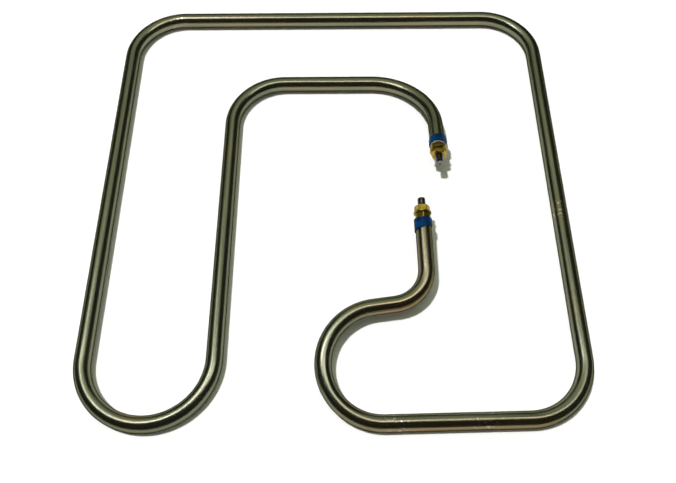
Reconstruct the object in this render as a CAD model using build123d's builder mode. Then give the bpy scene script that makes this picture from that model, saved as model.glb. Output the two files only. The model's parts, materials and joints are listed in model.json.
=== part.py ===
from build123d import *
import math
import os

# A tubular heating element: one sheathed tube, bent into an open serpentine that lies flat,
# with both ends lifted a little and facing each other near the middle of the frame.
# The origin is at the middle of the frame, on the surface that the tube lies on.
# End A is the short lead off the inner run, end B the lead off the big loop.
# All sizes are in millimetres and all angles in degrees.

os.makedirs("parts", exist_ok=True)

# ---- the tube
tube_diameter = 8.0
sheath_wall = 0.7
fit_gap = 0.02  # between pieces that are pressed or swaged together

# ---- the serpentine, measured between tube axes
frame_width = 232.0  # left leg to right leg
frame_depth = 242.0  # top run to the bottom of the U-bend
corner_radius = 28.5
inner_leg_spacing = 61.0  # left leg to inner leg, which the U-bend joins
inner_run_drop = 49.2  # top run to inner run
inner_corner_radius = 28.0
bottom_run_skew = 1.2  # the bottom run falls by this angle towards the loop

# ---- end A, bent in a plane that hinges up about the inner run
lead_a_x = 55.2
bend_a_radius = 34.0
lead_a_lift = 9.5
lead_a_straight = 13.9

# ---- end B, bent in a plane that hinges up about the bottom run
loop_start_x = 23.0
loop_radius = 27.1
loop_turn = 173.4
link_length = 10.9
neck_radius = 18.0
lead_b_heading = 91.0
lead_b_lift = 5.0
lead_b_straight = 23.7

# ---- terminals, heights measured outwards from the end of the sheath
stud_diameter = 4.0
thread_pitch = 0.7
stud_projection = 4.8  # beyond the outer nut
stud_point_chamfer = 0.6
stud_shank_diameter = 3.0
nut_across_flats = 7.0
nut_height = 3.2
nut_chamfer_angle = 30.0
nut_turn = {"inner_nut": 30.0, "outer_nut": 0.0}  # about the stud, by the way each nut tightened
washer_diameter = 9.0
washer_height = 0.8
washer_bore = 4.3
bush_flange_height = 2.0
bush_spigot_length = 3.0
bush_clearance = 0.05
seal_length = 5.0

# ---- inside the tube
cold_pin_diameter = 2.4
cold_length = 40.0  # from the end of the sheath to the inner end of the pin
coil_wire_diameter = 0.38
coil_grip = 8.0  # length of coil that grips the pin

# ---- the wraps at the ends
wrap_thickness = 0.24
wrap_cover = 4.3  # length of sheath under the wrap
wrap_setback = 0.1  # from the inner nut
wrap_slant = {"a": 16.0, "b": -16.0}  # of the edge farther from the terminal
wrap_lap_end = {"a": 38.0, "b": -30.0}  # where the second turn lets go, round the tube
wrap_lap_arc = {"a": -215.0, "b": 215.0}  # how far it goes round, and which way
wrap_tail = {"a": 2.0, "b": 0.9}  # length that stands off the first turn

# ---- sizes that follow
tube_radius = tube_diameter / 2
bore_radius = tube_radius - sheath_wall
right_leg_x = frame_width / 2
left_leg_x = -right_leg_x
inner_leg_x = left_leg_x + inner_leg_spacing
u_bend_radius = inner_leg_spacing / 2
top_run_y = frame_depth / 2
u_bend_y = u_bend_radius - top_run_y
inner_run_y = top_run_y - inner_run_drop
bend_a_x = lead_a_x - bend_a_radius
loop_start_y = -top_run_y
skew = math.radians(bottom_run_skew)
corner_b_reach = corner_radius * math.tan(math.radians(90 - bottom_run_skew) / 2)
corner_b_y = loop_start_y + math.tan(skew) * (right_leg_x - loop_start_x)
neck_turn = loop_turn + lead_b_heading - 180 - bottom_run_skew

pin_radius = cold_pin_diameter / 2
coil_radius = pin_radius + fit_gap + coil_wire_diameter
stud_radius = stud_diameter / 2
engaged_radius = stud_radius - thread_pitch * 3 * math.sqrt(3) / 16  # the pitch radius of a metric thread
shank_radius = stud_shank_diameter / 2
root_depth = bush_spigot_length + seal_length
nut_corner_radius = nut_across_flats / math.sqrt(3)
nut_chamfer = (nut_corner_radius - nut_across_flats / 2) * math.tan(math.radians(nut_chamfer_angle))
inner_nut_seat = bush_flange_height
washer_seat = inner_nut_seat + nut_height
outer_nut_seat = washer_seat + washer_height
outer_nut_face = outer_nut_seat + nut_height
stud_tip = outer_nut_face + stud_projection

first_turn = tube_radius + fit_gap + wrap_thickness
second_turn = first_turn + wrap_thickness
wrap_length = wrap_cover + bush_flange_height - wrap_setback

# ---- the tube's axis, from end A to end B
flat = Plane.XY.offset(tube_radius)
hinge_a = Plane((bend_a_x, inner_run_y, tube_radius)).rotated((-lead_a_lift, 0, 0))

with BuildLine(hinge_a) as lead_a:
    bend_a = JernArc((0, 0), (1, 0), bend_a_radius, -90)
    Line(bend_a @ 1, (bend_a_radius, -bend_a_radius - lead_a_straight))

with BuildLine(flat) as serpentine:
    inner_run = Line((bend_a_x, inner_run_y), (inner_leg_x + inner_corner_radius, inner_run_y))
    inner_corner = JernArc(inner_run @ 1, inner_run % 1, inner_corner_radius, 90)
    inner_leg = Line(inner_corner @ 1, (inner_leg_x, u_bend_y))
    u_bend = JernArc(inner_leg @ 1, inner_leg % 1, u_bend_radius, -180)
    left_leg = Line(u_bend @ 1, (left_leg_x, top_run_y - corner_radius))
    left_corner = JernArc(left_leg @ 1, left_leg % 1, corner_radius, -90)
    top_run = Line(left_corner @ 1, (right_leg_x - corner_radius, top_run_y))
    right_corner = JernArc(top_run @ 1, top_run % 1, corner_radius, -90)
    right_leg = Line(right_corner @ 1, (right_leg_x, corner_b_y + corner_b_reach))
    bottom_corner = JernArc(right_leg @ 1, right_leg % 1, corner_radius, bottom_run_skew - 90)
    bottom_run = Line(bottom_corner @ 1, (loop_start_x, loop_start_y))

back_along_run = bottom_run % 1 * -1
lifted = Vector(0, 0, 1).rotate(Axis((0, 0, 0), back_along_run), lead_b_lift)
hinge_b = Plane(origin=bottom_run @ 1, x_dir=back_along_run, z_dir=lifted)
with BuildLine(hinge_b) as lead_b:
    loop = JernArc((0, 0), (-1, 0), loop_radius, -loop_turn)
    link = Line(loop @ 1, (loop @ 1) + (loop % 1) * link_length)
    neck = JernArc(link @ 1, link % 1, neck_radius, neck_turn)
    Line(neck @ 1, (neck @ 1) + (neck % 1) * lead_b_straight)

tube_axis = Wire(serpentine.edges() + lead_b.edges() + lead_a.edges())


def axis_stretch(from_end_a, from_end_b):
    """The tube's axis, shortened by a length at each end."""
    return tube_axis.trim(from_end_a / tube_axis.length, 1 - from_end_b / tube_axis.length)


def across(path):
    """The plane square to a path at its start."""
    return Plane(origin=path @ 0, x_dir=(0, 0, 1), z_dir=path % 0)


def half_section(seat):
    """The plane through a terminal's axis: x is the radius, y the height outwards."""
    return Plane(origin=seat.origin, x_dir=seat.x_dir, z_dir=-seat.y_dir)


print("length of the tube", round(tube_axis.length, 1))

# ---- the sheath: the one tube that everything else sits in
with BuildPart() as sheath:
    with BuildSketch(across(tube_axis)):
        Circle(tube_radius)
        Circle(bore_radius, mode=Mode.SUBTRACT)
    sweep(path=tube_axis)
sheath.part.label = "sheath"
export_step(sheath.part, "parts/sheath.step")

# ---- the packed powder round the pins and the coil, with a wider bore along the coil
coil_start = cold_length - coil_grip
with BuildPart() as magnesia_filling:
    powder_path = axis_stretch(root_depth, root_depth)
    with BuildSketch(across(powder_path)):
        Circle(bore_radius - fit_gap)
        Circle(pin_radius + fit_gap, mode=Mode.SUBTRACT)
    sweep(path=powder_path)
    coil_path = axis_stretch(coil_start, coil_start)
    with BuildSketch(across(coil_path)):
        Circle(coil_radius + fit_gap)
    sweep(path=coil_path, mode=Mode.SUBTRACT)
magnesia_filling.part.label = "magnesia_filling"
export_step(magnesia_filling.part, "parts/magnesia_filling.step")

# ---- the heating coil, as the tube that its close turns fill
with BuildPart() as resistance_coil:
    with BuildSketch(across(coil_path)):
        Circle(coil_radius)
        Circle(pin_radius + fit_gap, mode=Mode.SUBTRACT)
    sweep(path=coil_path)
resistance_coil.part.label = "resistance_coil"
export_step(resistance_coil.part, "parts/resistance_coil.step")

# ---- the powder inside the coil, from pin to pin
with BuildPart() as magnesia_core:
    core_path = axis_stretch(cold_length, cold_length)
    with BuildSketch(across(core_path)):
        Circle(pin_radius)
    sweep(path=core_path)
magnesia_core.part.label = "magnesia_core"
export_step(magnesia_core.part, "parts/magnesia_core.step")

# ---- the two cold pins, which bend with the tube
pin_paths = {
    "a": axis_stretch(root_depth, tube_axis.length - cold_length),
    "b": axis_stretch(tube_axis.length - cold_length, root_depth),
}
for end, pin_path in pin_paths.items():
    with BuildPart() as cold_pin:
        with BuildSketch(across(pin_path)):
            Circle(pin_radius)
        sweep(path=pin_path)
    cold_pin.part.label = f"cold_pin_{end}"
    export_step(cold_pin.part, f"parts/cold_pin_{end}.step")

# ---- the terminals: each seat is the end of the sheath, with z pointing out of the tube
seats = {
    "a": Plane(origin=tube_axis @ 0, x_dir=(1, 0, 0), z_dir=-(tube_axis % 0)),
    "b": Plane(origin=tube_axis @ 1, x_dir=(1, 0, 0), z_dir=tube_axis % 1),
}
for end, seat in seats.items():
    terminal_axis = Axis(seat.origin, seat.z_dir)
    section = half_section(seat)

    # the threaded stud, its thinner shank welded to the cold pin; inside each nut the two threads
    # share the pitch radius, and the stud has its full diameter between and beyond the nuts
    with BuildPart() as terminal_stud:
        with BuildSketch(section):
            with BuildLine():
                Polyline(
                    (0, -root_depth),
                    (shank_radius, -root_depth),
                    (shank_radius, -bush_spigot_length),
                    (stud_radius, -bush_spigot_length),
                    (stud_radius, inner_nut_seat),
                    (engaged_radius, inner_nut_seat),
                    (engaged_radius, washer_seat),
                    (stud_radius, washer_seat),
                    (stud_radius, outer_nut_seat),
                    (engaged_radius, outer_nut_seat),
                    (engaged_radius, outer_nut_face),
                    (stud_radius, outer_nut_face),
                    (stud_radius, stud_tip - stud_point_chamfer),
                    (stud_radius - stud_point_chamfer, stud_tip),
                    (0, stud_tip),
                    close=True,
                )
            make_face()
        revolve(axis=terminal_axis)
    terminal_stud.part.label = f"terminal_stud_{end}"
    export_step(terminal_stud.part, f"parts/terminal_stud_{end}.step")

    # the resin plug between the powder and the bush
    with BuildPart() as end_seal:
        with BuildSketch(seat.offset(-root_depth)):
            Circle(bore_radius - fit_gap)
            Circle(shank_radius + fit_gap, mode=Mode.SUBTRACT)
        extrude(amount=seal_length)
    end_seal.part.label = f"end_seal_{end}"
    export_step(end_seal.part, f"parts/end_seal_{end}.step")

    # the insulating bush: a spigot in the bore and a flange on the end of the sheath
    with BuildPart() as ceramic_bush:
        with BuildSketch(seat.offset(-bush_spigot_length)):
            Circle(bore_radius - bush_clearance)
        extrude(amount=bush_spigot_length)
        with BuildSketch(seat):
            Circle(tube_radius)
        extrude(amount=bush_flange_height)
        with BuildSketch(seat.offset(-bush_spigot_length)):
            Circle(stud_radius + bush_clearance)
        extrude(amount=bush_spigot_length + bush_flange_height, mode=Mode.SUBTRACT)
    ceramic_bush.part.label = f"ceramic_bush_{end}"
    export_step(ceramic_bush.part, f"parts/ceramic_bush_{end}.step")

    # the wrap: one full turn, then a second that laps over it and ends in a lifted tail
    lap_start = wrap_lap_end[end] - wrap_lap_arc[end]
    with BuildPart() as sealing_wrap:
        with BuildSketch(seat.offset(-wrap_cover)):
            Circle(first_turn)
            Circle(tube_radius + fit_gap, mode=Mode.SUBTRACT)
            with BuildLine():
                under = CenterArc((0, 0), first_turn, lap_start, wrap_lap_arc[end])
                over = CenterArc((0, 0), second_turn, lap_start, wrap_lap_arc[end])
                tail = Line(over @ 1, (over @ 1) + (over % 1) * wrap_tail[end])
                under_tail = Line(under @ 1, (under @ 1) + (under % 1) * wrap_tail[end])
                Line(tail @ 1, under_tail @ 1)
                Line(under @ 0, over @ 0)
            make_face()
        extrude(amount=wrap_length)
        slant = seat.offset(-wrap_cover).rotated((0, wrap_slant[end], 0))
        slant.origin = slant.origin + seat.z_dir * (
            tube_radius * math.tan(math.radians(abs(wrap_slant[end])))
        )
        split(bisect_by=slant, keep=Keep.TOP)
    sealing_wrap.part.label = f"sealing_wrap_{end}"
    export_step(sealing_wrap.part, f"parts/sealing_wrap_{end}.step")

    # the two nuts, their corners turned down on both faces
    nut_seats = {"inner_nut": inner_nut_seat, "outer_nut": outer_nut_seat}
    for nut_name, nut_seat in nut_seats.items():
        with BuildPart() as nut:
            with BuildSketch(seat.offset(nut_seat)):
                RegularPolygon(nut_corner_radius, 6, rotation=nut_turn[nut_name])
                Circle(engaged_radius + fit_gap, mode=Mode.SUBTRACT)
            extrude(amount=nut_height)
            with BuildSketch(section):
                with BuildLine():
                    Polyline(
                        (0, nut_seat),
                        (nut_across_flats / 2, nut_seat),
                        (nut_corner_radius, nut_seat + nut_chamfer),
                        (nut_corner_radius, nut_seat + nut_height - nut_chamfer),
                        (nut_across_flats / 2, nut_seat + nut_height),
                        (0, nut_seat + nut_height),
                        close=True,
                    )
                make_face()
            revolve(axis=terminal_axis, mode=Mode.INTERSECT)
        nut.part.label = f"{nut_name}_{end}"
        export_step(nut.part, f"parts/{nut_name}_{end}.step")

    # the washer that the lead's ring terminal would sit on
    with BuildPart() as washer:
        with BuildSketch(seat.offset(washer_seat)):
            Circle(washer_diameter / 2)
            Circle(washer_bore / 2, mode=Mode.SUBTRACT)
        extrude(amount=washer_height)
    washer.part.label = f"washer_{end}"
    export_step(washer.part, f"parts/washer_{end}.step")
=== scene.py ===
# %% [markdown]
# # A tubular heating element, dressed for its picture
#
# The object is one metal tube, bent into an open serpentine that lies flat on a table. Its two ends lift
# a little and face each other. Each end carries a blue wrap, two brass nuts with a washer between them,
# and a dark threaded stud. The solids are loaded as a fixed frame, and nothing here moves them.

# %% load the frame
import json
import math

import bmesh
import bpy
from mathutils import Matrix, Vector


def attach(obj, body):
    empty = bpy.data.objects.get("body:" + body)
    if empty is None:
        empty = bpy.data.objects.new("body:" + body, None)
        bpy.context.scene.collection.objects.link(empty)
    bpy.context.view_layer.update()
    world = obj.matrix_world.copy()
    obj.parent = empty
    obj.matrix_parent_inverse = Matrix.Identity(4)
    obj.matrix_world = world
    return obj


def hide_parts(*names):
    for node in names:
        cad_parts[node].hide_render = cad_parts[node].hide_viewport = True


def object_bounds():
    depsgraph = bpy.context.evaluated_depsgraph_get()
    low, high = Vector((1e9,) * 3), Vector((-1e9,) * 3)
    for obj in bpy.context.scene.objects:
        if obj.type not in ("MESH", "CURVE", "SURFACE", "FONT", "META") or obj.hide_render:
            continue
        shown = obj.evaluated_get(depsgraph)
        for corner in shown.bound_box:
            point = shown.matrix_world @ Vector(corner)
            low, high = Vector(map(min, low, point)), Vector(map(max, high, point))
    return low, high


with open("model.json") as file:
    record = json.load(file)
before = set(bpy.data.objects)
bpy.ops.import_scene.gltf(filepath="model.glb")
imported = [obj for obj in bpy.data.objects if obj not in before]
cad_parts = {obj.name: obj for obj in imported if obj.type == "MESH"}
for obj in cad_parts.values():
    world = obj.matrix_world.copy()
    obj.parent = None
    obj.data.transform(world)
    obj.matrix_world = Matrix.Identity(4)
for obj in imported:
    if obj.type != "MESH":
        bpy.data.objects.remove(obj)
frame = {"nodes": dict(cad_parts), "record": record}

cad_low, cad_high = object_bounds()
MM = 0.001
print("solids:", len(frame["nodes"]), "size in mm:", [round(v / MM, 1) for v in cad_high - cad_low])

# %% [markdown]
# ## Camera
#
# The object lies flat, so it is seen from above at a steep angle. A camera could be aimed with a
# constraint, but three plain axes are clearer and never change: one along the view, one to the right
# and one up. A small roll turns the last two about the first.

# %% camera
picture_width = 676
focal_length = 729.65  # in pixels of that width
sensor_width = 36.0
camera_elevation = math.radians(62.0)
camera_distance = 370.99 * MM
camera_roll = math.radians(-0.63)
camera_azimuth = math.radians(0.341)
camera_target = Vector((2.45, -27.35, 0)) * MM


def make_camera():
    """A camera that looks at the target from above, with no shift and no depth of field."""
    around = Matrix.Rotation(camera_azimuth, 3, "Z")
    back = around @ Vector((0, -math.cos(camera_elevation), math.sin(camera_elevation)))
    right = around @ Vector((1, 0, 0))
    up = back.cross(right)
    rolled_right = right * math.cos(camera_roll) + up * math.sin(camera_roll)
    rolled_up = up * math.cos(camera_roll) - right * math.sin(camera_roll)
    data = bpy.data.cameras.new("camera")
    data.sensor_width = sensor_width
    data.lens = focal_length / picture_width * sensor_width
    data.clip_start = 0.01
    data.clip_end = 50
    camera = bpy.data.objects.new("camera", data)
    bpy.context.scene.collection.objects.link(camera)
    axes = Matrix((rolled_right, rolled_up, back)).transposed().to_4x4()
    camera.matrix_world = Matrix.Translation(camera_target + back * camera_distance) @ axes
    bpy.context.scene.camera = camera
    return camera


camera = make_camera()
print("lens", round(camera.data.lens, 2), "mm")

# %% [markdown]
# ## Shader maths as Python
#
# A finish is a small sum: a base colour, plus streaks, plus stains. Wiring it by hand hides the sum, so
# one class wraps a socket and lets Python's own operators add the Math nodes. The reflected forms let a
# number stand first, as in 1 - mask.

# %% sockets as numbers


class Value:
    """One output socket. Sums of it with numbers or with others add Math nodes."""

    def __init__(self, finish, socket):
        self.finish = finish
        self.socket = socket

    def maths(self, operation, first, second):
        """The result of a Math node."""
        return self.finish.node("ShaderNodeMath", {"operation": operation}, {0: first, 1: second})

    def __add__(self, other):
        return self.maths("ADD", self, other)

    def __radd__(self, other):
        return self.maths("ADD", other, self)

    def __sub__(self, other):
        return self.maths("SUBTRACT", self, other)

    def __rsub__(self, other):
        return self.maths("SUBTRACT", other, self)

    def __mul__(self, other):
        return self.maths("MULTIPLY", self, other)

    def __rmul__(self, other):
        return self.maths("MULTIPLY", other, self)

    def sine(self):
        return self.maths("SINE", self, 0)

    def cosine(self):
        return self.maths("COSINE", self, 0)

    def step_up(self, low, high):
        """0 below low, 1 above high, and a smooth rise between them."""
        settings = {"interpolation_type": "SMOOTHSTEP"}
        return self.finish.node("ShaderNodeMapRange", settings, {"Value": self, 1: low, 2: high})

    def sibling(self, out):
        """Another output of the same node."""
        return Value(self.finish, self.socket.node.outputs[out])


print("socket maths: add, subtract, multiply, sine, cosine and a smooth step")

# %% [markdown]
# ## One finish, one shader
#
# Every finish here is one Principled shader with different values fed to its sockets, so a second class
# holds the material and adds any node. Colours go through Mix nodes, because a Math node would turn a
# colour grey. A value that is the same all over is set on the shader's own socket.

# %% a finish


class Finish:
    """A material with one Principled shader, built node by node."""

    def __init__(self, name):
        self.material = bpy.data.materials.new(name)
        self.material.use_nodes = True
        self.tree = self.material.node_tree
        self.shader = self.tree.nodes["Principled BSDF"]

    def node(self, kind, settings=None, inputs=None, out=0):
        """Adds a node: its settings first, then the values or links of its sockets."""
        made = self.tree.nodes.new(kind)
        for name, setting in (settings or {}).items():
            setattr(made, name, setting)
        for name, given in (inputs or {}).items():
            self.feed(made.inputs[name], given)
        return Value(self, made.outputs[out])

    def feed(self, socket, given):
        """Sets a socket, or links it if a Value is given."""
        if isinstance(given, Value):
            self.tree.links.new(given.socket, socket)
        else:
            socket.default_value = given

    def mix(self, share, first, second):
        """A colour between two colours. The node's sockets 6 and 7 take them, and output 2 is the result."""
        chosen = {"data_type": "RGBA"}
        inputs = {0: share, 6: as_colour(first), 7: as_colour(second)}
        return self.node("ShaderNodeMix", chosen, inputs, out=2)

    def noise(self, where, scale, detail, roughness):
        """Smooth random values near 0.5, the same on every run."""
        inputs = {"Vector": where, "Scale": scale, "Detail": detail, "Roughness": roughness}
        return self.node("ShaderNodeTexNoise", inputs=inputs)

    def surface(self, **inputs):
        """Feeds the shader's own sockets, named with underscores for spaces."""
        for name, given in inputs.items():
            self.feed(self.shader.inputs[name.replace("_", " ")], given)

    def bump(self, height, distance, strength=1.0):
        """A relief of that many metres that feeds the shader's normal."""
        inputs = {"Height": height, "Distance": distance, "Strength": strength}
        self.surface(Normal=self.node("ShaderNodeBump", inputs=inputs))


def as_colour(given):
    """A colour as a socket wants it, with its alpha."""
    return given if isinstance(given, Value) else (*given, 1)


print("a grey, as a socket wants it:", as_colour((0.5, 0.5, 0.5)))

# %% [markdown]
# ## The line that the tube follows
#
# The frame gives the tube's surface but not its middle line, and a drawn tube's marks run along that
# line. So the line is walked again, as a bender makes it, in runs and bends. A Walk knows where it is,
# where it is heading and which side is its left, and that is all that a bend needs.

# %% a walk of runs and bends
bend_step = math.radians(3.0)


class Walk:
    """A line made of runs and bends. Left is the side that a positive bend turns to."""

    def __init__(self, start, heading, left):
        self.points = [Vector(start)]
        self.heading = Vector(heading).normalized()
        self.left = Vector(left).normalized()

    def run(self, length):
        """Goes straight on."""
        self.points.append(self.points[-1] + self.heading * length)

    def bend(self, radius, turn):
        """Turns to one side along an arc."""
        side = self.left * math.copysign(1, turn)
        centre = self.points[-1] + side * radius
        spoke = self.points[-1] - centre
        heading = self.heading.copy()
        steps = math.ceil(abs(turn) / bend_step)
        for count in range(1, steps + 1):
            angle = abs(turn) * count / steps
            self.points.append(centre + spoke * math.cos(angle) + heading * radius * math.sin(angle))
        last = abs(turn)
        self.heading = heading * math.cos(last) + side * math.sin(last)
        self.left = (side * math.cos(last) - heading * math.sin(last)) * math.copysign(1, turn)

    def hinge(self, angle):
        """Tilts the plane of the next bends about the heading."""
        self.left = Matrix.Rotation(angle, 3, self.heading) @ self.left


quarter_turn = Walk((0, 0, 0), (1, 0, 0), (0, 1, 0))
quarter_turn.bend(10.0, math.pi / 2)
print("a quarter turn of radius 10 ends at", [round(v, 2) for v in quarter_turn.points[-1]])

# %% [markdown]
# ### The tube's own walk
#
# The walk starts where the inner run meets the lifted lead of end A. One walk goes from there to end A,
# in a plane that hinges up. The other goes the long way round to end B: the inner leg, the left bend, the
# outer corners and the bottom run, and then the loop, whose plane hinges up for end B.

# %% walk the tube, in millimetres
tube_radius = 4.0
bore_radius = 3.3
corner_radius = 28.5
inner_corner_radius = 28.0
frame_width = 232.0
frame_depth = 242.0
inner_leg_spacing = 61.0
inner_run_drop = 49.2
bottom_run_skew = math.radians(1.2)
lead_a_x = 55.2
bend_a_radius = 34.0
lead_a_lift = math.radians(9.5)
lead_a_straight = 13.9
loop_start_x = 23.0
loop_radius = 27.1
loop_turn = math.radians(173.4)
link_length = 10.9
neck_radius = 18.0
neck_turn = math.radians(83.2)
lead_b_lift = math.radians(5.0)
lead_b_straight = 23.7


def walk_tube():
    """The tube's middle line from end A to end B."""
    top_y = frame_depth / 2
    right_x = frame_width / 2
    quarter = math.pi / 2
    inner_x = inner_leg_spacing - right_x
    inner_y = top_y - inner_run_drop
    u_bend_radius = inner_leg_spacing / 2
    u_bend_y = u_bend_radius - top_y
    hinge_a_point = (lead_a_x - bend_a_radius, inner_y, tube_radius)
    corner_reach = corner_radius * math.tan((quarter - bottom_run_skew) / 2)
    corner_y = math.tan(bottom_run_skew) * (right_x - loop_start_x) - top_y

    lead_a = Walk(hinge_a_point, (1, 0, 0), (0, math.cos(lead_a_lift), -math.sin(lead_a_lift)))
    lead_a.bend(bend_a_radius, -quarter)
    lead_a.run(lead_a_straight)

    rest = Walk(hinge_a_point, (-1, 0, 0), (0, -1, 0))
    rest.run(hinge_a_point[0] - inner_x - inner_corner_radius)
    rest.bend(inner_corner_radius, quarter)
    rest.run(inner_y - inner_corner_radius - u_bend_y)
    rest.bend(u_bend_radius, -2 * quarter)
    rest.run(top_y - corner_radius - u_bend_y)
    rest.bend(corner_radius, -quarter)
    rest.run(frame_width - 2 * corner_radius)
    rest.bend(corner_radius, -quarter)
    rest.run(top_y - corner_radius - corner_y - corner_reach)
    rest.bend(corner_radius, bottom_run_skew - quarter)
    rest.run((right_x - loop_start_x) / math.cos(bottom_run_skew) - corner_reach)
    rest.hinge(-lead_b_lift)
    rest.bend(loop_radius, -loop_turn)
    rest.run(link_length)
    rest.bend(neck_radius, neck_turn)
    rest.run(lead_b_straight)
    return lead_a.points[::-1] + rest.points[1:]


tube_line = walk_tube()
tube_length = sum((b - a).length for a, b in zip(tube_line, tube_line[1:]))
print("tube", round(tube_length, 1), "mm; end A", [round(v, 2) for v in tube_line[0]])
print("end B", [round(v, 2) for v in tube_line[-1]])

# %% [markdown]
# ## Frames along the line
#
# A mesh tube needs, at each point of its line, a heading and a side where its ring starts. If the side were
# worked out afresh at each point it would jump, and the streaks would spiral. So it is carried along: the
# last side, less whatever part of it points along the new heading.

# %% carry a side along a line


def carry_frames(line):
    """At each point of a line, a heading and a side that turns with the line but never twists about it."""
    headings = []
    for index in range(len(line)):
        before = line[max(index - 1, 0)]
        after = line[min(index + 1, len(line) - 1)]
        headings.append((after - before).normalized())
    headings[0] = (line[1] - line[0]).normalized()
    headings[-1] = (line[-1] - line[-2]).normalized()
    side = headings[0].orthogonal().normalized()
    frames = []
    for heading in headings:
        side = (side - heading * side.dot(heading)).normalized()
        frames.append((heading, side))
    return frames


print("frames along the tube:", len(carry_frames(tube_line)))

# %% [markdown]
# ## From a mesh to a finished piece
#
# Each modelled piece gets the same last steps: one finish, smooth shading and its ties to the frame. Smooth
# shading alone would bend the light round a cut end or a nut's corner, so edges that turn sharply are
# marked, and the shading breaks there. How sharply is set by the kind of piece: little for a nut, whose
# flats should look flat, and more for a thread, which should stay soft.

# %% pieces and crisp edges
crisp_angles = {"tube": 40, "stud": 40, "nut": 18, "washer": 30, "wrap": 50}  # in degrees


def sharpen(piece, degrees):
    """Keeps the shading crisp along edges that turn by more than that angle."""
    edges = bmesh.new()
    edges.from_mesh(piece.data)
    for edge in edges.edges:
        edge.smooth = len(edge.link_faces) != 2 or edge.calc_face_angle(0) < math.radians(degrees)
    edges.to_mesh(piece.data)
    edges.free()


def new_piece(name, mesh_builder, material, replaced, crisp):
    """A finished mesh object that rides on the one body and stands for its solid."""
    mesh = bpy.data.meshes.new(name)
    mesh_builder.to_mesh(mesh)
    mesh_builder.free()
    piece = bpy.data.objects.new(name, mesh)
    bpy.context.scene.collection.objects.link(piece)
    mesh.materials.append(material)
    for polygon in mesh.polygons:
        polygon.use_smooth = True
    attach(piece, "root")
    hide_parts(replaced)
    sharpen(piece, crisp_angles[crisp])
    print(name, "has", len(mesh.polygons), "faces")


print("kinds of piece:", sorted(crisp_angles))

# %% [markdown]
# ## The tube's mesh
#
# The solid has the right shape, but its mesh has no coordinates along the tube, and drawing marks,
# polish and scratches all follow them. So a tube of the same size stands for it: rings of points carried
# along the line without twisting, with the length along the tube and the place round it kept as a UV map.

# %% the tube's mesh
ring_points = 56
tube_map = "along_and_round"


def tube_rings(made, line, radius):
    """A ring of points round each point of the line."""
    rings = []
    for point, (heading, side) in zip(line, carry_frames(line)):
        across = heading.cross(side)
        ring = []
        for count in range(ring_points):
            angle = math.tau * count / ring_points
            spoke = side * math.cos(angle) + across * math.sin(angle)
            ring.append(made.verts.new((point + spoke * radius) * MM))
        rings.append(ring)
    return rings


def tube_wall(made, rings, along, uv_layer, inward):
    """Faces between the rings, mapped by metres along the tube and turns round it."""
    for row in range(len(rings) - 1):
        for count in range(ring_points):
            places = [(row, count), (row, count + 1), (row + 1, count + 1), (row + 1, count)]
            if inward:
                places.reverse()
            face = made.faces.new([rings[r][c % ring_points] for r, c in places])
            for loop, (r, c) in zip(face.loops, places):
                loop[uv_layer].uv = (along[r], c / ring_points)


def tube_mesh(line, outer, inner):
    """A hollow tube along a line: two walls, and a ring of faces at each cut end."""
    made = bmesh.new()
    uv_layer = made.loops.layers.uv.new(tube_map)
    along = [0.0]
    for before, after in zip(line, line[1:]):
        along.append(along[-1] + (after - before).length * MM)
    outside = tube_rings(made, line, outer)
    inside = tube_rings(made, line, inner)
    tube_wall(made, outside, along, uv_layer, inward=False)
    tube_wall(made, inside, along, uv_layer, inward=True)
    for row, flip in ((0, True), (-1, False)):
        rim, bore = outside[row], inside[row]
        for count in range(ring_points):
            beside = (count + 1) % ring_points
            corners = [rim[count], rim[beside], bore[beside], bore[count]]
            made.faces.new(corners[::-1] if flip else corners)
    bmesh.ops.recalc_face_normals(made, faces=made.faces)
    return made


print("points in one ring:", ring_points)

# %% [markdown]
# ## Steel of the tube
#
# Stainless tube that has been drawn, bent, heated and handled: dark, a little olive, satin along its
# length. Fine streaks follow the tube, so noise is stretched along it: the place round the tube becomes a
# point on a circle, which has no seam, and the length is squeezed. Slow clouds tint it brown, small stains
# darken it, heat has browned four stretches on one side, and four short ones have bright nicks.

# %% steel: colours and measures
steel_light = (0.24, 0.25, 0.175)
steel_dark = (0.15, 0.158, 0.105)
steel_brown = (0.29, 0.20, 0.105)
steel_bare = (0.60, 0.58, 0.50)  # where a nick has gone through the dark skin
steel_edge_painted_dark = (0.0, 0.0, 0.0)  # painted shade: the edge tint is black, so where the tube turns away it mirrors dark instead of the white floor
# noises: scale, detail and roughness
streak_noise = (9.0, 4.0, 0.6)
fine_streak_noise = (30.0, 3.0, 0.6)
cloud_noise = (28.0, 3.0, 0.55)
stain_noise = (60.0, 4.0, 0.6)
nick_noise = (700.0, 2.0, 0.5)
streak_squeeze = 3.0  # how fast the streaks change along the tube
# masks: where each starts to rise from 0, and where it has reached 1
light_streaks = (0.35, 0.7)
brown_streaks = (0.3, 0.55)
brown_clouds = (0.5, 0.7)
dark_stains = (0.6, 0.75)
bright_nicks = (0.60, 0.66)
back_side = (-0.45, 0.45)
# how strongly a full mask shows
cloud_share = 0.3
stain_share = 0.5
nick_share = 0.8
# stretches with small nicks: first and last metre along the tube
nicked = ((0.608, 0.618), (0.938, 0.952), (1.080, 1.090), (1.118, 1.130))
nick_fade = 0.003
# stretches that heat has browned on the side towards the front: first and last metre, and how strongly
browned = ((0.600, 0.800, 0.3), (0.050, 0.120, 0.3), (1.055, 1.135, 0.8), (1.212, 1.240, 0.9))
brown_fade = 0.012
polished_roughness = 0.12
streak_roughness = 0.14
cloud_roughness = 0.05
streak_relief = 0.00003
streak_relief_strength = 0.6
print("browned stretches:", len(browned), "and nicked ones:", len(nicked))

# %% steel: the shader


def between(along, first, last, fade):
    """1 on a stretch of the tube, 0 off it, with a smooth rise and fall."""
    begun = along.step_up(first - fade, first + fade)
    ended = along.step_up(last - fade, last + fade)
    return begun - ended


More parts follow.
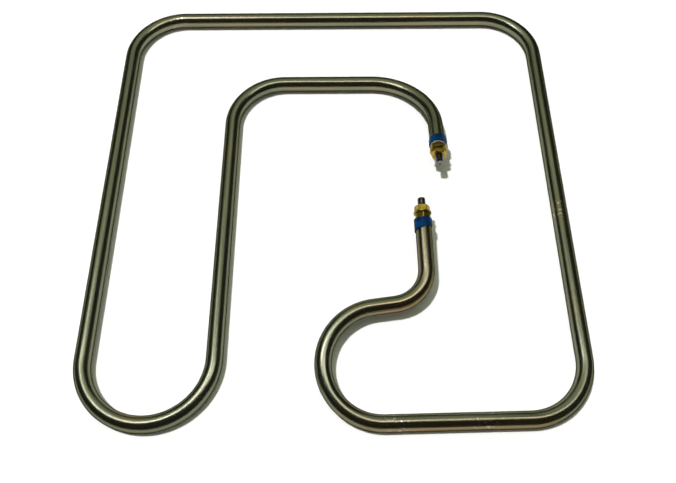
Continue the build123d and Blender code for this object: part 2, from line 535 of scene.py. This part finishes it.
def make_sheath_steel():
    """The tube's finish, from its own map and the object's own space."""
    finish = Finish("sheath_steel")
    map_uv = finish.node("ShaderNodeUVMap", {"uv_map": tube_map})
    along = finish.node("ShaderNodeSeparateXYZ", inputs={0: map_uv}, out="X")
    angle = along.sibling("Y") * math.tau
    circle = {"X": angle.cosine(), "Y": angle.sine(), "Z": along * streak_squeeze}
    streak_place = finish.node("ShaderNodeCombineXYZ", inputs=circle)
    streaks = finish.noise(streak_place, *streak_noise)
    fine_streaks = finish.noise(streak_place, *fine_streak_noise)
    where = finish.node("ShaderNodeTexCoord", out="Object")
    clouds = finish.noise(where, *cloud_noise)
    stains = finish.noise(where, *stain_noise)
    colour = finish.mix(streaks.step_up(*light_streaks), steel_dark, steel_light)
    colour = finish.mix(clouds.step_up(*brown_clouds) * cloud_share, colour, steel_brown)
    heat = 0.0
    for first, last, share in browned:
        heat = heat + share * between(along, first, last, brown_fade)
    normal = finish.node("ShaderNodeTexCoord", out="Normal")
    facing = finish.node("ShaderNodeSeparateXYZ", inputs={0: normal}, out="Y")
    front = 1 - facing.step_up(*back_side)
    colour = finish.mix(heat * front * streaks.step_up(*brown_streaks), colour, steel_brown)
    colour = finish.mix(stains.step_up(*dark_stains) * stain_share, colour, steel_dark)
    nicks = 0.0
    for first, last in nicked:
        nicks = nicks + between(along, first, last, nick_fade)
    nicks = nicks * finish.noise(where, *nick_noise).step_up(*bright_nicks)
    colour = finish.mix(nicks * nick_share, colour, steel_bare)
    # painted shade: the black edge tint darkens the steel's grazing reflections
    finish.surface(Base_Color=colour, Metallic=1.0, Specular_Tint=as_colour(steel_edge_painted_dark))
    finish.surface(Roughness=polished_roughness + streak_roughness * streaks + cloud_roughness * clouds)
    finish.bump(fine_streaks, streak_relief, streak_relief_strength)
    return finish.material


sheath_steel = make_sheath_steel()
sheath_form = tube_mesh(tube_line, tube_radius, bore_radius)
new_piece("sheath_tube", sheath_form, sheath_steel, "sheath", "tube")

# %% [markdown]
# ## Brass, wrap, stud and the hidden pieces
#
# The small pieces share one recipe: two near colours blended by soft clouds, and a fine grain that varies
# the roughness and raises a slight relief. The places come from the object's own space, so no map is
# needed. The hidden pieces get the same care, because a cut-open element would show them.

# %% small finishes
grain_fineness = 8  # how many times as fine as the clouds
grain_roughness = 0.15
cloud_edges = (0.35, 0.65)
cloud_detail = (4.0, 0.6)
grain_detail = (2.0, 0.5)
plain_gloss = 0.5


def speckled(name, light, dark, metallic, roughness, scale, relief, gloss=plain_gloss):
    """A finish between two colours, by noise in the object's own space."""
    finish = Finish(name)
    where = finish.node("ShaderNodeTexCoord", out="Object")
    cloud = finish.noise(where, scale, *cloud_detail)
    grain = finish.noise(where, scale * grain_fineness, *grain_detail)
    finish.surface(Base_Color=finish.mix(cloud.step_up(*cloud_edges), dark, light), Metallic=metallic)
    finish.surface(Specular_IOR_Level=gloss)
    finish.surface(Roughness=roughness + grain_roughness * (grain - 0.5))
    finish.bump(grain, relief)
    return finish.material


# light colour, dark colour, metallic, roughness, scale of the clouds, relief in metres, and any gloss
small_finishes = {
    "brass": ((0.39, 0.285, 0.045), (0.25, 0.17, 0.02), 1.0, 0.32, 400, 0.00001),
    "blue_wrap": ((0.0, 0.034, 0.125), (0.0, 0.012, 0.045), 0.0, 0.42, 330, 0.00006, 0.06),
    "stud_steel": ((0.21, 0.195, 0.20), (0.08, 0.07, 0.075), 1.0, 0.22, 600, 0.00001),
    "bush_ceramic": ((0.80, 0.77, 0.70), (0.66, 0.62, 0.54), 0.0, 0.6, 500, 0.00002),
    "seal_resin": ((0.40, 0.14, 0.08), (0.30, 0.09, 0.05), 0.0, 0.35, 300, 0.00002),
    "magnesia": ((0.85, 0.84, 0.80), (0.74, 0.73, 0.70), 0.0, 0.9, 900, 0.00003),
    "coil_alloy": ((0.26, 0.24, 0.23), (0.14, 0.13, 0.12), 1.0, 0.45, 700, 0.00002),
    "pin_steel": ((0.46, 0.46, 0.46), (0.34, 0.34, 0.34), 1.0, 0.35, 500, 0.00002),
}
finishes = {name: speckled(name, *values) for name, values in small_finishes.items()}
for subpart in frame["record"]["subparts"]:
    node = frame["nodes"][subpart["node"]]
    finish_name = subpart["material_slot"]
    node.data.materials.clear()
    node.data.materials.append(finishes.get(finish_name, sheath_steel))
print("finishes", sorted(finishes))

# %% [markdown]
# ## The terminals
#
# Each end is a stack on one axis: wrap, inner nut, washer, outer nut and stud. The solids give it its
# sizes, with plain cylinders for the threads and knife edges on the nuts. What makes small hardware look
# real is the rest, so each shown piece is modelled again in its place: a helix cut into the stud, nuts
# whose corners are turned down by a cone and blunted, and a wrap made as one strip wound twice.

# %% seats of the terminals


class Seat:
    """The end of the tube: heights go out along the axis, and angles go round from x to y."""

    def __init__(self, origin, before):
        self.origin = origin
        self.out = (origin - before).normalized()
        self.x = (Vector((1, 0, 0)) - self.out * self.out.x).normalized()
        self.y = self.out.cross(self.x)

    def at(self, radius, angle, height):
        """The place at a radius, an angle and a height, in metres."""
        spoke = self.x * math.cos(angle) + self.y * math.sin(angle)
        return (self.origin + spoke * radius + self.out * height) * MM


seats = {"a": Seat(tube_line[0], tube_line[1]), "b": Seat(tube_line[-1], tube_line[-2])}
for end, seat in seats.items():
    print("end", end, "points to", [round(v, 3) for v in seat.out])

# %% [markdown]
# ### Sizes of the stack
#
# Heights are in millimetres, out from the cut end of the tube. Each piece's seat is the one before it plus
# that one's height, so the stack stays closed if a size changes. A turned piece is rings of points about
# the axis with faces between them, so two helpers make those for all of them.

# %% stack sizes, rings and the faces between them
nut_height = 3.2
nut_flats = 7.0
washer_height = 0.8
washer_radius = 4.5
washer_bore = 2.15
inner_nut_seat = 2.0
washer_seat = inner_nut_seat + nut_height
outer_nut_seat = washer_seat + washer_height
outer_nut_face = outer_nut_seat + nut_height
stud_reach = 4.8
stud_tip = outer_nut_face + stud_reach
stud_radius = 2.0
engaged_radius = 1.773  # the thread's pitch radius, where a nut sits on it
shank_radius = 1.5
stud_root = -8.0
stud_shoulder = -3.0
round_points = 72


def round_ring(made, seat, radius, height):
    """A ring of points about the seat's axis."""
    angles = [math.tau * count / round_points for count in range(round_points)]
    return [made.verts.new(seat.at(radius, angle, height)) for angle in angles]


def skin_rows(made, rows, closed_rows=False, closed_ring=True):
    """Faces between neighbouring rows of points. The rows, or each ring, can close on themselves."""
    last = len(rows) if closed_rows else len(rows) - 1
    for index in range(last):
        here = rows[index]
        there = rows[(index + 1) % len(rows)]
        count = len(here) if closed_ring else len(here) - 1
        for step in range(count):
            beside = (step + 1) % len(here)
            made.faces.new((here[step], here[beside], there[beside], there[step]))


print("the stack ends", round(stud_tip, 2), "mm out from the tube")

# %% [markdown]
# ### Studs
#
# The thread is one helix of pitch 0.7. Rows of points go out along the stud, and each point's radius
# depends on how far it is past the thread's crest, which moves along with the turn. A cone blunts the tip.

# %% studs
thread_pitch = 0.7
thread_depth = 0.40
thread_crest = 0.3  # width of the crest, in pitches
thread_flank = 0.5  # width of both flanks, in pitches
thread_hidden = 0.3
thread_start = outer_nut_face - thread_hidden  # the thread comes out of the nut
thread_rows = 14  # to one pitch
point_radius = 1.4


def thread_radius(height, turn):
    """Crest, flank, root, flank: radius of a metric thread at that height and turn."""
    share = (height / thread_pitch - turn) % 1.0
    from_crest = min(share, 1 - share) * 2
    fall = min(max((from_crest - thread_crest) / thread_flank, 0.0), 1.0)
    return stud_radius - thread_depth * fall


def threaded_ring(made, seat, height):
    """A ring of points on the thread, under the tip's cone and inside the nut."""
    limit = point_radius + (stud_tip - height)
    if height < outer_nut_face:
        limit = min(limit, engaged_radius)
    ring = []
    for count in range(round_points):
        radius = min(thread_radius(height, count / round_points), limit)
        ring.append(made.verts.new(seat.at(radius, math.tau * count / round_points, height)))
    return ring


def stud_mesh(seat):
    """The shank in the tube, the stretches inside the stack, and the threaded end."""
    made = bmesh.new()
    plain = [(shank_radius, stud_root), (shank_radius, stud_shoulder), (stud_radius, stud_shoulder)]
    plain += [(stud_radius, inner_nut_seat), (engaged_radius, inner_nut_seat)]
    plain += [(engaged_radius, washer_seat), (stud_radius, washer_seat), (stud_radius, outer_nut_seat)]
    plain += [(engaged_radius, outer_nut_seat)]
    rows = [round_ring(made, seat, radius, height) for radius, height in plain]
    count = round((stud_tip - thread_start) / thread_pitch * thread_rows)
    for step in range(count + 1):
        rows.append(threaded_ring(made, seat, thread_start + (stud_tip - thread_start) * step / count))
    skin_rows(made, rows)
    made.faces.new(rows[0][::-1])
    made.faces.new(rows[-1])
    bmesh.ops.recalc_face_normals(made, faces=made.faces)
    return made


print("turns of thread past the nut:", round(stud_reach / thread_pitch, 1))

# %% [markdown]
# ### Nuts and washers
#
# A hexagon turned down by a cone at both faces is the smaller of two radii at each point: the hexagon's,
# which depends on the angle, and the cone's, which depends on the height. Real corners are blunt, so the
# hexagon's radius is also held under a limit. The bore opens in a small countersink.

# %% nuts and washers
nut_cone = math.tan(math.radians(30))
nut_face_inset = 0.05  # the round of the face ends this far inside the flats
nut_blunt_radius = 3.93
bore_clearance = 0.02
nut_bore = engaged_radius + bore_clearance
countersink = 0.28
side_angles = [-30, -28.6, -27, -23, -16, -8, 0, 8, 16, 23, 27, 28.6]
nut_levels = [0, 0.06, 0.14, 0.22, 0.30, 0.40, 0.6]
# each nut's seat, and the angle of its first corner in degrees
nuts = (("inner_nut", inner_nut_seat, 30), ("outer_nut", outer_nut_seat, 0))
washer_ease = 0.1


def nut_radius(angle, level):
    """Outer radius at an angle from the middle of a flat and a height from the nearer face."""
    hexagon = nut_flats / 2 / math.cos(angle)
    cone = nut_flats / 2 - nut_face_inset + level / nut_cone
    return min(hexagon, nut_blunt_radius, cone)


def nut_mesh(seat, start, first_corner):
    """A hexagon nut whose first corner is at that angle round the axis."""
    made = bmesh.new()
    levels = nut_levels + [nut_height - level for level in reversed(nut_levels)]
    spokes = []
    for side in range(6):
        middle = first_corner + math.radians(30 + 60 * side)
        spokes += [(middle + math.radians(offset), math.radians(offset)) for offset in side_angles]
    rows = []
    for level in levels:
        near = min(level, nut_height - level)
        ring = [seat.at(nut_radius(offset, near), angle, start + level) for angle, offset in spokes]
        rows.append([made.verts.new(place) for place in ring])
    inside = [(nut_bore + countersink, nut_height), (nut_bore, nut_height - countersink)]
    inside += [(nut_bore, countersink), (nut_bore + countersink, 0)]
    for radius, level in inside:
        rows.append([made.verts.new(seat.at(radius, angle, start + level)) for angle, offset in spokes])
    skin_rows(made, rows, closed_rows=True)
    bmesh.ops.recalc_face_normals(made, faces=made.faces)
    return made


def washer_mesh(seat, start):
    """A flat ring with its rims eased."""
    made = bmesh.new()
    top = start + washer_height
    eased = washer_radius - washer_ease
    profile = [(washer_bore, start), (eased, start), (washer_radius, start + washer_ease)]
    profile += [(washer_radius, top - washer_ease), (eased, top), (washer_bore, top)]
    rows = [round_ring(made, seat, radius, height) for radius, height in profile]
    skin_rows(made, rows, closed_rows=True)
    bmesh.ops.recalc_face_normals(made, faces=made.faces)
    return made


print("nut across its blunt corners:", round(2 * nut_blunt_radius, 2), "mm")

# %% [markdown]
# ### The wrap's path
#
# The blue wrap is one strip wound round the end of the tube: a full first turn, a second that laps over
# it, and a short tail that stands off. The path gives each step its angle and radius. Where the second
# turn begins, the radius climbs smoothly by the strip's own thickness.

# %% the wrap's path
wrap_thickness = 0.24
wrap_inner = tube_radius + 0.02
wrap_front = 1.9
wrap_cover = 4.3
wrap_slant = {"a": math.radians(16), "b": math.radians(-16)}
lap_end = {"a": math.radians(38), "b": math.radians(-30)}
lap_arc = {"a": math.radians(-215), "b": math.radians(215)}
lap_ramp = math.radians(24)
tail_length = {"a": 2.0, "b": 0.9}
tail_steps = 6
strip_steps = 150


def wrap_strip(end):
    """Places along the strip: (angle, radius of the strip's middle, distance stood off on the tail)."""
    way = math.copysign(1, lap_arc[end])
    whole = math.tau + abs(lap_arc[end])
    first = lap_end[end] - way * whole
    places = []
    for step in range(strip_steps + 1):
        turned = whole * step / strip_steps
        over = min(max((turned - (math.tau - lap_ramp)) / lap_ramp, 0.0), 1.0)
        rise = over * over * (3 - 2 * over)
        places.append((first + way * turned, wrap_inner + wrap_thickness * (0.5 + rise), 0.0))
    for step in range(1, tail_steps + 1):
        places.append((lap_end[end], places[strip_steps][1], tail_length[end] * step / tail_steps))
    return places


print("steps along each strip:", len(wrap_strip("a")))

# %% [markdown]
# ### The wrap's mesh
#
# One skin with a Solidify modifier would press the creases through to the inside as well. So the strip is
# an outer and an inner skin over the same path, joined by a rim, and only the outer one is creased. Its
# edge farther from the nuts is cut on a slant, and waves a little.

# %% the wrap's mesh
strip_rows = 22
skin_offset = 0.46  # from the strip's middle to a skin, in thicknesses
crease_height = 0.07
creases_round = 9
crease_lean = 5
edge_wave = 0.10
edge_waves_round = 3.1
edge_drift = 1.3  # radians of wave gained in that many steps along the strip:
edge_drift_steps = 40
edge_fade = 6


def strip_row(made, seat, end, index, place, side):
    """Points across the strip at one step, from its slanted edge to the one beside the nuts."""
    angle, middle, off = place
    way = math.copysign(1, lap_arc[end])
    radius = middle + wrap_thickness * side
    back = tube_radius * math.cos(angle) * math.tan(wrap_slant[end])
    lift = tube_radius * math.tan(abs(wrap_slant[end]))
    start = -wrap_cover + lift - back
    along = seat.y * math.cos(angle) - seat.x * math.sin(angle)
    row = []
    for count in range(strip_rows + 1):
        share = count / strip_rows
        crease = crease_height * math.sin(creases_round * angle + crease_lean * share)
        crease = max(crease * math.sin(math.pi * share), 0) * (side > 0)
        drift = edge_drift * index / edge_drift_steps
        edge = edge_wave * math.sin(edge_waves_round * angle + drift) * (1 - share) ** edge_fade
        height = start + (wrap_front - start) * share + edge
        row.append(made.verts.new(seat.at(radius + crease, angle, height) + along * way * off * MM))
    return row


def outline(rows):
    """The points round the edge of a grid of points, in order."""
    near_side = [row[0] for row in rows] + rows[-1][1:]
    return near_side + [row[-1] for row in rows[-2::-1]] + rows[0][-2:0:-1]


def wrap_mesh(seat, end):
    """The wound strip, as two skins and the rim that joins them."""
    made = bmesh.new()
    strip = list(enumerate(wrap_strip(end)))
    outer = [strip_row(made, seat, end, index, place, skin_offset) for index, place in strip]
    inner = [strip_row(made, seat, end, index, place, -skin_offset) for index, place in strip]
    skin_rows(made, outer, closed_ring=False)
    skin_rows(made, [row[::-1] for row in inner], closed_ring=False)
    skin_rows(made, [outline(outer), outline(inner)])
    bmesh.ops.recalc_face_normals(made, faces=made.faces)
    return made


print("points across each strip:", strip_rows + 1)

# %% [markdown]
# ### Put the stacks together
#
# Both ends hold the same five pieces, so one loop makes them. Each piece names the solid that it stands
# for, and its slot is the name of its finish.

# %% put the stacks together


def stack_piece(name, form, replaced, slot, crisp):
    """A small piece in the finish that its slot names."""
    new_piece(name, form, finishes[slot], replaced, crisp)


for end, seat in seats.items():
    stack_piece(f"threaded_stud_{end}", stud_mesh(seat), f"terminal_stud_{end}", "stud_steel", "stud")
    for name, start, first_corner in nuts:
        nut_form = nut_mesh(seat, start, math.radians(first_corner))
        stack_piece(f"{name}_turned_{end}", nut_form, f"{name}_{end}", "brass", "nut")
    stack_piece(f"washer_eased_{end}", washer_mesh(seat, washer_seat), f"washer_{end}", "brass", "washer")
    stack_piece(f"wound_wrap_{end}", wrap_mesh(seat, end), f"sealing_wrap_{end}", "blue_wrap", "wrap")

# %% [markdown]
# ## Floor
#
# The floor is a plain pale disc at the height that the tube lies on, and far off its rim sweeps up into a
# low wall, as a studio's does. A small share of plain white is added for what the camera and the metal
# see, so that the lit floor is white and still takes the shadow.

# %% floor
floor_radius = 5.0  # metres, flat as far as the sweep
sweep_radius = 0.4
backdrop_height = 0.5
floor_points = 96
sweep_steps = 12
floor_colour = (0.95, 0.95, 0.95)
floor_lift = 0.02


def floor_mesh():
    """A flat disc whose rim sweeps up into a low wall, so every side has a pale background."""
    made = bmesh.new()
    flat_radius = floor_radius - sweep_radius
    profile = [(flat_radius, 0.0)]
    for step in range(1, sweep_steps + 1):
        turn = math.pi / 2 * step / sweep_steps
        profile.append((flat_radius + sweep_radius * math.sin(turn), sweep_radius * (1 - math.cos(turn))))
    profile.append((floor_radius, backdrop_height))
    rows = []
    for radius, height in profile:
        angles = [math.tau * count / floor_points for count in range(floor_points)]
        rows.append([made.verts.new((radius * math.cos(a), radius * math.sin(a), height)) for a in angles])
    skin_rows(made, rows)
    made.faces.new(rows[0])
    bmesh.ops.recalc_face_normals(made, faces=made.faces)
    for face in made.faces:
        face.smooth = len(face.verts) == 4
    return made


def make_floor():
    """The floor as a stage, matt white with a little light of its own."""
    finish = Finish("floor")
    camera_ray = finish.node("ShaderNodeLightPath", out="Is Camera Ray")
    seen = camera_ray + camera_ray.sibling("Is Glossy Ray")
    seen = seen + camera_ray.sibling("Is Transmission Ray")
    white = {"Color": (1, 1, 1, 1), "Strength": seen * floor_lift}
    glow = finish.node("ShaderNodeEmission", inputs=white)
    matt = finish.node("ShaderNodeBsdfDiffuse", inputs={"Color": as_colour(floor_colour)})
    both = finish.node("ShaderNodeAddShader", inputs={0: matt, 1: glow})
    finish.feed(finish.tree.nodes["Material Output"].inputs["Surface"], both)
    made = floor_mesh()
    mesh = bpy.data.meshes.new("floor")
    made.to_mesh(mesh)
    made.free()
    floor = bpy.data.objects.new("floor", mesh)
    bpy.context.scene.collection.objects.link(floor)
    mesh.materials.append(finish.material)
    return floor


floor = make_floor()
print("floor across:", 2 * floor_radius, "m")

# %% [markdown]
# ## Light
#
# Polished metal is seen by what it mirrors, and a floor by the light that falls on it. One set of lamps
# can't be tuned for both, so there are two. A small far key lamp gives the shadow and a wide fill softens
# it, and neither shows in the metal. Five soft panels show in the metal alone, as the long stripe on each
# run, the glow on each leg and the bright glint in the left bend.

# %% lamps
centre = (cad_low + cad_high) / 2
key_place = Vector((-1450, 150, 5000)) * MM
key_size = 0.3
key_power = 247.0
key_colour = (0.985, 0.97, 1.0)
fill_colour = (0.90, 1.0, 0.70)
soft_colour = (0.94, 1.0, 0.76)
plain_colour = (0.97, 0.94, 0.95)
glint_colour = (0.88, 0.82, 1.0)
# each panel: middle in millimetres, size in metres, brightness, where 1 is white, and colour
fill_panel = ((0, 300, 1400), (1.6, 1.6), 0.84, fill_colour)
gloss_panels = {
    "glint": ((-330, 150, 975), (0.28, 0.11), 12.0, glint_colour),
    "side": ((-350, 335, 975), (0.26, 0.14), 1.7, plain_colour),
    "strip": ((20, 95, 985), (1.0, 0.18), 4.4, plain_colour),
    "above": ((-220, 400, 1000), (1.2, 0.6), 0.68, soft_colour),
    "back": ((-150, 1100, 900), (1.2, 0.75), 0.45, soft_colour),
}


def make_lamp(name, place, aim, size, power, colour):
    """A rectangular area lamp that faces a point."""
    data = bpy.data.lights.new(name, "AREA")
    data.shape = "RECTANGLE"
    data.size, data.size_y = size
    data.energy = power
    data.color = colour
    lamp = bpy.data.objects.new(name, data)
    bpy.context.scene.collection.objects.link(lamp)
    lamp.location = place
    lamp.rotation_mode = "QUATERNION"
    lamp.rotation_quaternion = (aim - place).to_track_quat("-Z", "Y")
    return lamp


def make_panel(name, middle, size, glow, colour):
    """A soft light of a known brightness that faces the floor straight in front of it."""
    place = Vector(middle) * MM
    aim = Vector((place.x, centre.y, 0))
    return make_lamp(name, place, aim, size, glow * math.pi * size[0] * size[1], colour)


key = make_lamp("key", key_place, centre, (key_size, key_size), key_power, key_colour)
fill = make_panel("fill", *fill_panel)
for lamp in (key, fill):
    lamp.visible_glossy = False
for name, panel in gloss_panels.items():
    make_panel(name, *panel).visible_diffuse = False
print("lamps:", len(bpy.data.lights))

# %% [markdown]
# ## Sky and view
#
# The sky gives a little of the same soft colour from every side, so nothing is quite black. It stays dim,
# because the tube owes its dark flanks to it. The view transform is the plain one, which shows a colour
# as it was written.

# %% sky and view
sky_strength = 0.045
world = bpy.data.worlds.new("studio")
world.use_nodes = True
sky = world.node_tree.nodes["Background"]
sky.inputs["Color"].default_value = as_colour(soft_colour)
sky.inputs["Strength"].default_value = sky_strength
bpy.context.scene.world = world
bpy.context.scene.view_settings.view_transform = "Standard"
print("view transform:", bpy.context.scene.view_settings.view_transform)
